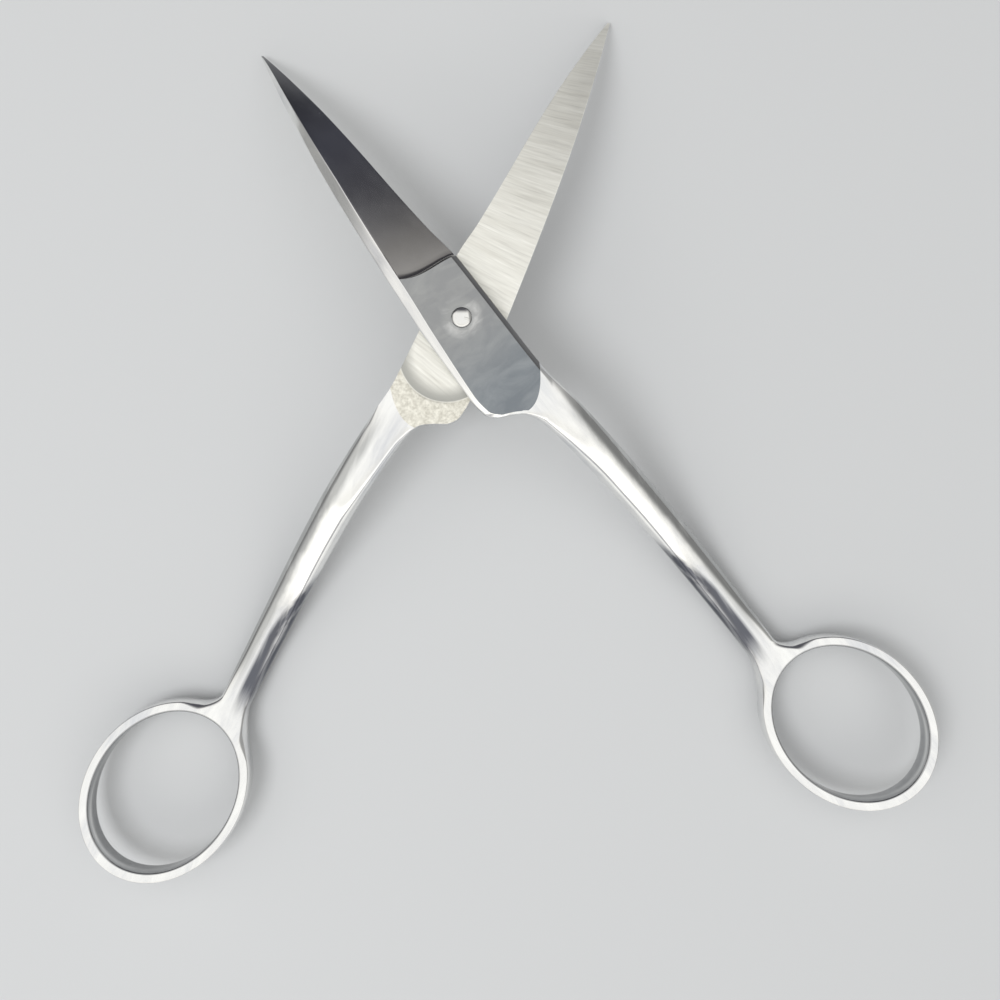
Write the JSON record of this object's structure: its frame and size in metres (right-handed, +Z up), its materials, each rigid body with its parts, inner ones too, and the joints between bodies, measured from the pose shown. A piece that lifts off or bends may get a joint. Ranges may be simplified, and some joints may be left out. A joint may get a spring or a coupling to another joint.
{
  "type": "double-curved embroidery scissors",
  "caption": "Small open scissors whose blades and shanks both curve down from a raised pivot screw, with oval finger rings lying near the table.",
  "frame": {"origin": "on the table, below the middle of the open scissors' bounding box", "axes": "+Z is up along the pivot axis, from the screw's slotted head to its riveted end; +Y is the way that the blades point, and +X is to the right of it seen from above"},
  "size_m": [0.1308, 0.1346, 0.0198],
  "materials": {
    "upper_steel": "mirror polished stainless steel",
    "lower_steel": "polished outside, satin ground inner face",
    "screw_steel": "polished steel"
  },
  "bodies": {
    "upper": {"upper_half": "upper_steel", "pivot_screw": "screw_steel"},
    "lower": {"lower_half": "lower_steel"}
  },
  "joints": [
    {"name": "pivot", "type": "hinge", "parent": "upper", "child": "lower", "pos_m": [-0.00773, 0.01763, 0.0171], "axis": [0, 0, 1], "range_deg": [-88, 60.5]}
  ]
}
